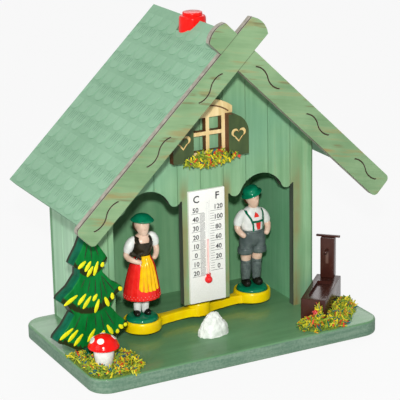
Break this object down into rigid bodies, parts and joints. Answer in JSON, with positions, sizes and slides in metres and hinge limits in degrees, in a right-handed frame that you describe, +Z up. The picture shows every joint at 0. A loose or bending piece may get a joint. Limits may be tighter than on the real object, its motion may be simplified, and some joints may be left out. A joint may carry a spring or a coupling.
{
  "type": "weather house",
  "caption": "Small wooden weather house: a gut string turns a bar with two figures through arched doorways, with a thermometer, garden pieces and an adjusting chimney.",
  "frame": {"origin": "centre of the base board's underside", "axes": "+Z up; -Y out of the front with the doorways; +X to the right seen from the front"},
  "size_m": [0.1705, 0.0908, 0.1677],
  "materials": {
    "base_green": "green paint, soft sheen",
    "wall_green": "thin green paint with brown shading",
    "roof_green": "pale green paint on pressed shingles",
    "barge_green": "yellow green paint, carved",
    "plain_wood": "bare plywood",
    "shutter_green": "dark green paint, burnt edges",
    "flower_moss": "dyed fine shavings",
    "card_white": "printed white",
    "tube_glass": "clear",
    "liquid_red": "dyed spirit",
    "tree_green": "gloss enamel",
    "mushroom_white": "gloss enamel",
    "mushroom_red": "gloss enamel",
    "stone_white": "rough",
    "trough_brown": "dark stain, satin",
    "chimney_red": "gloss",
    "bar_yellow": "gloss",
    "gut": "twisted gut",
    "woman_paint": "painted plastic",
    "man_paint": "painted plastic"
  },
  "bodies": {
    "house": {"base_board": "base_green", "front_wall": "wall_green", "back_wall": "wall_green", "left_wall": "wall_green", "right_wall": "wall_green", "left_roof_panel": "roof_green", "right_roof_panel": "roof_green", "left_bargeboard": "barge_green", "right_bargeboard": "barge_green", "ridge_block": "plain_wood", "window_frame": "plain_wood", "window_lintel": "plain_wood", "left_shutter": "shutter_green", "right_shutter": "shutter_green", "window_flowers": "flower_moss", "thermometer_card": "card_white", "thermometer_tube": "tube_glass", "thermometer_liquid": "liquid_red", "fir_tree": "tree_green", "mushroom_stem": "mushroom_white", "mushroom_cap": "mushroom_red", "left_flower_bed": "flower_moss", "white_stone": "stone_white", "trough": "trough_brown", "trough_post": "trough_brown", "post_cap": "trough_brown", "trough_spout": "trough_brown", "right_flower_bed": "flower_moss"},
    "adjuster": {"chimney_knob": "chimney_red"},
    "figure_carrier": {"figure_bar": "bar_yellow", "gut_string": "gut", "gut_plug": "plain_wood", "woman_figure": "woman_paint", "man_figure": "man_paint"}
  },
  "joints": [
    {"name": "chimney_turn", "type": "hinge", "parent": "house", "child": "adjuster", "pos_m": [0, 0.0034, 0.15], "axis": [0, 0, 1], "range_deg": [-15, 15]},
    {"name": "gut_twist", "type": "hinge", "parent": "adjuster", "child": "figure_carrier", "pos_m": [0, 0.0034, 0.012], "axis": [0, 0, 1], "range_deg": [-38, 22], "stiffness_Nm_per_rad": 0.0005}
  ]
}
